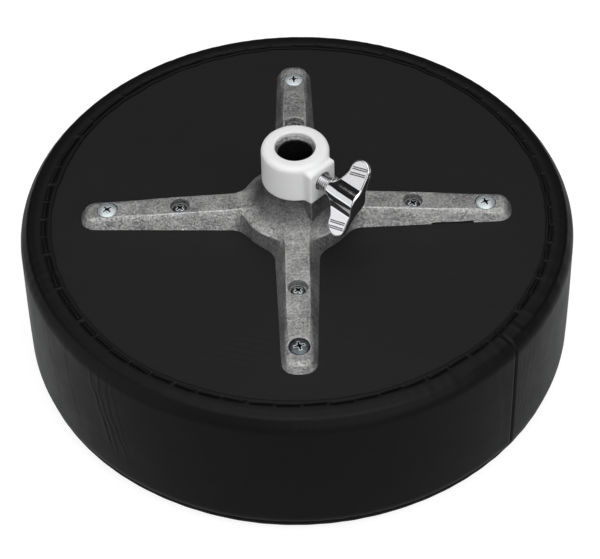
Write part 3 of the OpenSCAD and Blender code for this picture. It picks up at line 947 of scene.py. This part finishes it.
def casting_painted_shade(local, normals):
    """Painted shade on the casting where shade falls: under the collar, on the face of the boss and down the wall
    of the web.
    """
    x, y, z = local.T
    radius = np.hypot(x, y)
    across = arm_axes(x, y)[1]
    facing = normals[:, :2] @ BOLT_AXIS[:2]
    neck = 0.62 * smooth_step(33, 24, radius) * (z > BEVEL_H * 6) * (z < COLLAR_FOOT + 1)
    face = 0.5 * (facing > 0.8) * (radius > 22) * (radius < 28) * (z > 14)
    wall = 0.45 * smooth_step(0.6, 0.35, normals[:, 2]) * (radius > 33) * (radius < 41)
    return np.maximum(np.maximum(neck, face), wall * smooth_step(ARM_HALF + 1.5, ARM_HALF + 4.5, across))


def bracket():
    """The casting, with notes for its painted highlights with wear on edges, and its painted shade in corners,
    recesses, the socket and under the collar.
    """
    half = ARM_R + 3
    low, high = (-half, -half, -1.5), (half, half, TUBE_TOP + 2)
    local, faces, normals = level_surface(bracket_field, low, high, 0.6)
    thing = piece("post_bracket_cast", "seat", "post_bracket", local + (0, 0, BASE_Z), faces, normals)
    along, across = arm_axes(local[:, 0], local[:, 1])
    to_screw = np.minimum(np.hypot(along - OUTER_SCREW, across), np.hypot(along - INNER_SCREW, across))
    marked = np.hypot(along - PIN_X, across) < 5
    # painted highlights with wear on sharp edges, and painted shade in corners
    worn = bend_of(bracket_field, local, 0.5) * (to_screw > 6.5) * np.where(marked, 0.4, 1.0)
    note(thing, "wear_and_painted_light", worn)
    # painted shade: nearly black down the socket, dark in the outer counterbores, and the casting's painted shade
    depth = smooth_step(TUBE_TOP - 1.8, TUBE_TOP - 4.5, local[:, 2])
    inside = depth * (np.hypot(local[:, 0], local[:, 1]) < SOCKET_R + 0.5)
    bores = np.where(along > 100, 0.7, 0.05) * (to_screw < 6.95)
    note(thing, "painted_shade", np.maximum(np.maximum(0.94 * inside, bores), casting_painted_shade(local, normals)))


# ---- collar, bolt and screws

COLLAR_R, COLLAR_MOUTH = 21.5, 12.8
NOSE_OUT, NOSE_HALF, NOSE_DROP = 24.0, 11.0, 3.4  # the nose over the boss
FIT = 0.05  # gap between the collar and the casting
BOLT_HOLE = 6.4


def collar_field(x, y, z):
    """Distance to the nylon collar's skin, with z measured from the base."""
    radius = np.hypot(x, y)
    radial, beside = bolt_axes(x, y)
    body = cut_soft(radius - COLLAR_R, z - COLLAR_TOP, 4.5)
    nose = cut_soft(cut_soft(radial - NOSE_OUT, beside - NOSE_HALF, 1.3), z - (COLLAR_TOP - NOSE_DROP), 2.6)
    solid = join_soft(body, np.maximum(nose, -radial), 1.6)
    solid = cut_soft(solid, COLLAR_FOOT - z, 0.8)
    solid = cut_soft(solid, COLLAR_MOUTH - radius, 1.0)
    solid = np.maximum(solid, -np.maximum(radius - TUBE_R - FIT, z - TUBE_TOP))
    pocket = np.maximum(np.maximum(radial - BOSS_OUT, beside - BOSS_HALF), z - BOSS_TOP) - FIT
    solid = np.maximum(solid, -np.maximum(pocket, -radial))
    return cut_soft(solid, -np.maximum(np.hypot(beside, z - BOLT_H) - BOLT_HOLE, -radial), 0.5)


def collar():
    low, high = (-27, -27, COLLAR_FOOT - 2), (27, 27, COLLAR_TOP + 2)
    local, faces, normals = level_surface(collar_field, low, high, 0.42)
    piece("nylon_collar_moulded", "seat", "nylon_collar", local + (0, 0, BASE_Z), faces, normals)


STUD_TIP, HEAD_START, HUB_R = 11.5, 31.0, 6.8
WING_LEAN = math.radians(33)
WING_MID, WING_HALF, WING_ARC = 46.6, 7.1, 19.0
GROOVES, GROOVE_TILT = (15.6, 16.8, 19.3, 20.5), 0.27


def turned_bolt(points):
    """Points turned from the bolt's own axes (out, along the wings, through them) to the frame's."""
    tangent = np.array([-BOLT_AXIS[1], BOLT_AXIS[0], 0.0])
    up = np.array([0.0, 0.0, 1.0])
    wing = up * math.cos(WING_LEAN) + tangent * math.sin(WING_LEAN)
    return points @ np.stack([BOLT_AXIS, wing, np.cross(BOLT_AXIS, wing)])


def groove_field(u, w):
    """Distance to the middle of the nearest line cut across a wing."""
    skewed = np.abs(w - GROOVE_TILT * (u - WING_MID)) * 0.965
    nearest = np.min([np.abs(skewed - line) for line in GROOVES], 0)
    return np.maximum(nearest - 0.2, np.abs(u - WING_MID) - 5.4)


def head_field(u, w, t):
    """Distance to the wing head's skin: u out along the bolt, w along the wings, t through them."""
    far = np.abs(w)
    barrel = HUB_R - 0.5 * smooth_step(40, HEAD_START, u)
    hub = cut_soft(np.hypot(w, t) - barrel, HEAD_START - u, 1.2)
    inner = WING_MID - WING_HALF - 3.4 * smooth_step(17, 6, far)
    outer = WING_MID + WING_HALF + 0.8 * smooth_step(17, 4, far)
    tip = np.hypot(u - WING_MID, far - WING_ARC) - WING_HALF
    plan = np.where(far > WING_ARC, tip, np.maximum(inner - u, u - outer - 3) * 0.96)
    thick = (np.abs(t) - np.maximum(3.2 - 0.12 * np.maximum(far - 8, 0), 1.2)) * 0.98
    wing = cut_soft(plan, thick, 1.2)
    solid = cut_soft(join_soft(hub, wing, 4.0), (u - outer) * 0.98, 1.3)
    return cut_soft(solid, -np.maximum(groove_field(u, w), -thick - 0.45), 0.1)


def wing_head():
    own, faces, normals = level_surface(head_field, (29, -28, -8.5), (57, 28, 8.5), 0.28)
    # painted shade in the grooves across the wings
    lines = smooth_step(0.25, -0.1, groove_field(own[:, 0], own[:, 1])) * (np.abs(own[:, 1]) > 12)
    points, normals = turned_bolt(own) + (0, 0, BOLT_Z), turned_bolt(normals)
    thing = piece("wing_bolt_head_cast", "bolt_head", "wing_bolt_head", points, faces, normals)
    note(thing, "painted_shade", 0.75 * lines)


def stud():
    """The stud with its rolled thread; it rides on the head, because a visible thread has to turn."""
    pitch, major, depth = 1.5, 4.95, 0.75
    start, end = STUD_TIP, HEAD_START + 4.0
    columns, per_turn = 64, 14
    rows = int((end - start) / pitch * per_turn)
    along = np.linspace(start, end, rows)
    angle = np.arange(columns) * TURN / columns
    turns, lengths = np.meshgrid(angle, along)
    phase = (lengths / pitch - turns / TURN) % 1.0
    crest = np.clip(np.abs(phase - 0.5) * 2.6 - 0.25, 0, 1)
    taper = smooth_step(start, start + 1.2, lengths)
    radii = (major - depth * crest) * (0.86 + 0.14 * taper)
    points = np.stack([lengths, radii * np.cos(turns), radii * np.sin(turns)], -1).reshape(-1, 3)
    points, faces = turned_bolt(points) + (0, 0, BOLT_Z), capped_faces(rows, columns)
    thing = piece("wing_bolt_stud_threaded", "bolt_head", "wing_bolt_stud", points, faces)
    # painted shade in the roots of the thread
    note(thing, "painted_shade", (0.97 * smooth_step(0.45, 0.75, crest)).ravel())


OUTER_HEAD = {"radius": 6.4, "height": 2.4, "shank": 3.0, "recess": 3.3, "round": 0.5}
INNER_HEAD = {"radius": 4.7, "height": 2.5, "shank": 2.4, "recess": 2.7, "round": 0.9}
# how strong the painted highlights with wear on the recess edges are, by finish
EDGE_WEAR_AND_HIGHLIGHT = {"bright_zinc": 1.0, "dark_zinc": 1.5}


def recess_field(head, x, y):
    """Distance to the plan of a screw's cross recess."""
    slot, reach = 0.58, head["recess"]
    arms = np.minimum(np.maximum(np.abs(x) - reach, np.abs(y) - slot),
                      np.maximum(np.abs(y) - reach, np.abs(x) - slot))
    square = np.maximum(np.abs(x + y), np.abs(x - y)) / math.sqrt(2) - reach * 0.42
    return np.minimum(arms, square)


def screw_field(head, shank_l):
    """Field of a domed cross-recess screw with the underside of its head at height 0."""
    dome = (head["radius"] ** 2 + head["height"] ** 2) / (2 * head["height"]) * 1.8

    def field(x, y, z):
        radius = np.hypot(x, y)
        top = np.sqrt(radius ** 2 + (z - head["height"] + dome) ** 2) - dome
        rim = cut_soft(radius - head["radius"], top, head["round"])
        shank = np.maximum(radius - head["shank"], np.maximum(z - 0.5, -z - shank_l))
        solid = np.minimum(cut_soft(rim, -z, 0.3), shank)
        deep = head["height"] - z
        cross = np.maximum(recess_field(head, x, y) + 0.15 * deep, deep - head["height"] * 0.8)
        ticks = np.minimum(np.abs(x + y), np.abs(x - y)) / math.sqrt(2) - 0.16
        ticks = np.maximum(np.maximum(ticks, radius - head["recess"] * 0.95), deep - 0.4)
        return cut_soft(solid, -np.minimum(cross, ticks), 0.15)

    return field


def screws(kind, head, distance, floor_h, turns):
    """Four screws of one kind at a distance from the seat's axis, each left at its own angle."""
    shank_l = BASE_Z + floor_h - node_end(f"{kind}_right", LOW, Z)
    field = screw_field(head, shank_l)
    reach = head["radius"] + 1
    points, faces, normals = level_surface(field, (-reach, -reach, -shank_l - 1), (reach, reach, 4), 0.27)
    plan = recess_field(head, points[:, 0], points[:, 1])
    # painted shade in the cross recess
    recess = smooth_step(head["height"] - 0.35, head["height"] - 0.7, points[:, 2]) * (plan < 0.1)
    # painted highlights with wear round the edge of the recess
    edge = 0.6 * bell(plan - 0.2, 0.22) * (points[:, 2] > head["height"] - 0.5) * (1 - recess)
    for (side, angle), own in zip(SIDES.items(), turns):
        c, s = math.cos(own), math.sin(own)
        turned = np.array([[c, s, 0], [-s, c, 0], [0, 0, 1]])
        centre = np.array([distance * math.cos(angle), distance * math.sin(angle), BASE_Z + floor_h])
        node, placed = f"{kind}_{side}", points @ turned + centre
        thing = piece(f"{node}_driven", "seat", node, placed, faces, normals @ turned)
        note(thing, "painted_shade", recess)
        note(thing, "wear_and_painted_light", edge * EDGE_WEAR_AND_HIGHLIGHT[SLOTS[node]])


# ---- padding inside the cover

def lathe(name, node, profile):
    """A closed piece turned from a closed profile of radius and height."""
    columns = 192
    profile = np.array(profile, float)
    turns, radii = np.meshgrid(np.arange(columns) * TURN / columns, profile[:, 0])
    points = round_points(radii, turns, np.repeat(profile[:, 1:2], columns, 1)).reshape(-1, 3)
    return piece(name, "seat", node, points, looped_faces(len(profile), columns))


def arc(centre_r, centre_z, radius, start, end, count):
    """Points of a profile on an arc from start to end, in degrees."""
    turns = np.radians(np.linspace(start, end, count))
    return [(centre_r + radius * math.cos(a), centre_z + radius * math.sin(a)) for a in turns]


def padding():
    """Foam block, soft layer and edge strip, each a little inside the cover."""
    gap = 4.2
    block_r = node_end("support_foam", HIGH, X)
    block_low, block_high = node_end("support_foam", LOW, Z), node_end("support_foam", HIGH, Z)
    block = [(0.3, block_low + 0.2), (block_r - 1.4, block_low + 0.2), (block_r - 0.4, block_low + 1.2),
             (block_r - 0.4, block_high - 1.2), (block_r - 1.4, block_high - 0.2), (0.3, block_high - 0.2)]
    soft = [(0.3, gap)] + arc(SEAT_R - SIT_ROUND - 2, SIT_ROUND, SIT_ROUND - gap, -90, -2, 16)
    soft = [(min(r, block_r - 0.4), z) for r, z in soft]
    soft += [(block_r - 0.4, block_low - 0.2), (0.3, block_low - 0.2)]
    strip = [(block_r + 0.4, SIT_ROUND - 2)]
    strip += arc(SEAT_R - SIT_ROUND, SIT_ROUND, SIT_ROUND - gap, -12, 0, 4)
    strip += arc(SEAT_R - RIM_ROUND, FLANGE_Z - RIM_ROUND, RIM_ROUND - gap, 0, 88, 10)
    strip += [(block_r + 0.4, FLANGE_Z - gap)]
    for node, profile in {"support_foam": block, "comfort_foam": soft, "edge_padding": strip}.items():
        lathe(f"{node}_cut", node, profile)


# ---- build

studio_camera()
floor()
light_studio()
side_band()
top_panel()
staples()
base_sheet()
padding()
bracket()
collar()
wing_head()
stud()
screws("outer_screw", OUTER_HEAD, OUTER_SCREW, OUTER_FLOOR, (0.35, 0.05, 0.7, 0.25))
screws("inner_screw", INNER_HEAD, INNER_SCREW, INNER_FLOOR, (0.5, 1.1, 0.75, 0.7))

# the CAD parts that no piece stands for get their materials
for node, thing in frame["nodes"].items():
    if not thing.hide_render:
        for index in range(len(thing.material_slots)):
            thing.material_slots[index].material = LOOKS[SLOTS[node]]
